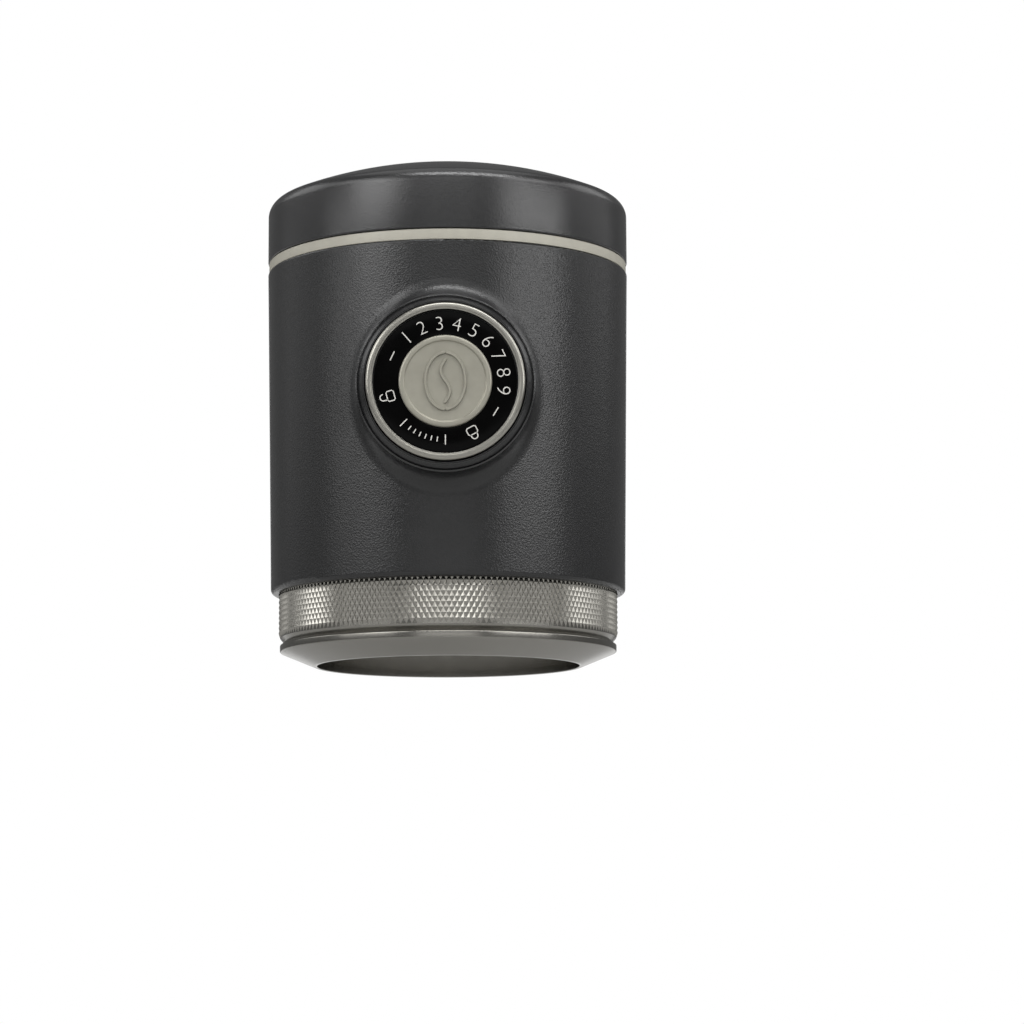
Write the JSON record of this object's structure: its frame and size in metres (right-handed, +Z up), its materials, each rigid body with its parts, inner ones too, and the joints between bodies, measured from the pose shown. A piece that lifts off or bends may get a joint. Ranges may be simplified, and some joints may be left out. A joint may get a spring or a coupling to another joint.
{
  "type": "manual espresso maker",
  "caption": "Palm-sized hand-pumped espresso maker: round body with a side push knob and dial, screw lid over a water tank, and a knurled screw-on basket holder below.",
  "frame": {"origin": "centre of the drip opening, on the rim that the maker stands on", "axes": "+Z up along the body axis to the lid, -Y along the pump axis towards the knob, +X to the right of a person facing the knob"},
  "size_m": [0.071, 0.078, 0.0985],
  "materials": {
    "shell_coat": "fine-grained satin dark grey",
    "trim_paint": "satin warm grey",
    "ring_steel": "knurled and turned stainless",
    "basket_steel": "polished stainless sheet",
    "dial_gloss": "gloss black",
    "badge_paint": "satin warm grey",
    "bezel_metal": "satin warm grey metal",
    "knob_plastic": "satin dark grey",
    "inner_plastic": "moulded black",
    "seal_rubber": "moulded silicone",
    "fastener_steel": "stainless",
    "spring_steel": "drawn stainless wire"
  },
  "bodies": {
    "body": {"body_shell": "shell_coat", "trim_ring": "trim_paint", "tank": "inner_plastic", "tank_strainer": "basket_steel", "tank_screws": "fastener_steel", "lock_sleeve": "inner_plastic", "pump_cylinder": "basket_steel", "rod_guide": "inner_plastic", "rod_seal": "seal_rubber", "pump_block": "inner_plastic", "inlet_valve": "seal_rubber", "outlet_valve": "seal_rubber", "block_screws": "fastener_steel", "sleeve_screws": "fastener_steel", "brew_head": "inner_plastic", "head_screws": "fastener_steel", "thread_insert": "inner_plastic", "group_gasket": "seal_rubber", "dispersion_plate": "basket_steel", "dispersion_screen": "basket_steel", "screen_screw": "fastener_steel", "return_spring": "spring_steel"},
    "lid_seal": {"lid_gasket": "seal_rubber"},
    "lid": {"lid_cap": "shell_coat", "lid_liner": "inner_plastic", "vent_valve": "seal_rubber"},
    "basket": {"filter_basket": "basket_steel"},
    "portafilter": {"portafilter_ring": "ring_steel"},
    "piston": {"piston_rod": "basket_steel", "piston_head": "inner_plastic", "piston_seal": "seal_rubber", "spring_washer": "fastener_steel", "knob_screw": "fastener_steel"},
    "knob": {"knob_shell": "knob_plastic", "bayonet_ring": "inner_plastic", "knob_bezel": "bezel_metal", "dial_plate": "dial_gloss", "knob_badge": "badge_paint"}
  },
  "joints": [
    {"name": "lid_lift", "type": "slide", "parent": "body", "child": "lid_seal", "axis": [0, 0, 1], "range_m": [0, 0.004]},
    {"name": "lid_turn", "type": "hinge", "parent": "lid_seal", "child": "lid", "pos_m": [0, 0, 0.085], "axis": [0, 0, 1], "range_deg": [0, 450]},
    {"name": "basket_drop", "type": "slide", "parent": "body", "child": "basket", "axis": [0, 0, -1], "range_m": [0, 0.006]},
    {"name": "portafilter_turn", "type": "hinge", "parent": "basket", "child": "portafilter", "pos_m": [0, 0, 0.02], "axis": [0, 0, -1], "range_deg": [0, 540]},
    {"name": "pump_slide", "type": "slide", "parent": "body", "child": "piston", "axis": [0, -1, 0], "range_m": [0, 0.016], "stiffness_N_per_m": 500, "springref_m": 0.024, "deforming": ["return_spring"]},
    {"name": "knob_turn", "type": "hinge", "parent": "piston", "child": "knob", "pos_m": [0, -0.04, 0.0493], "axis": [0, 1, 0], "range_deg": [0, 45]}
  ],
  "couplings": [
    {"joint": "lid_lift", "follows": "lid_turn", "m_per_rad": 0.00050929},
    {"joint": "basket_drop", "follows": "portafilter_turn", "m_per_rad": 0.00063661}
  ]
}
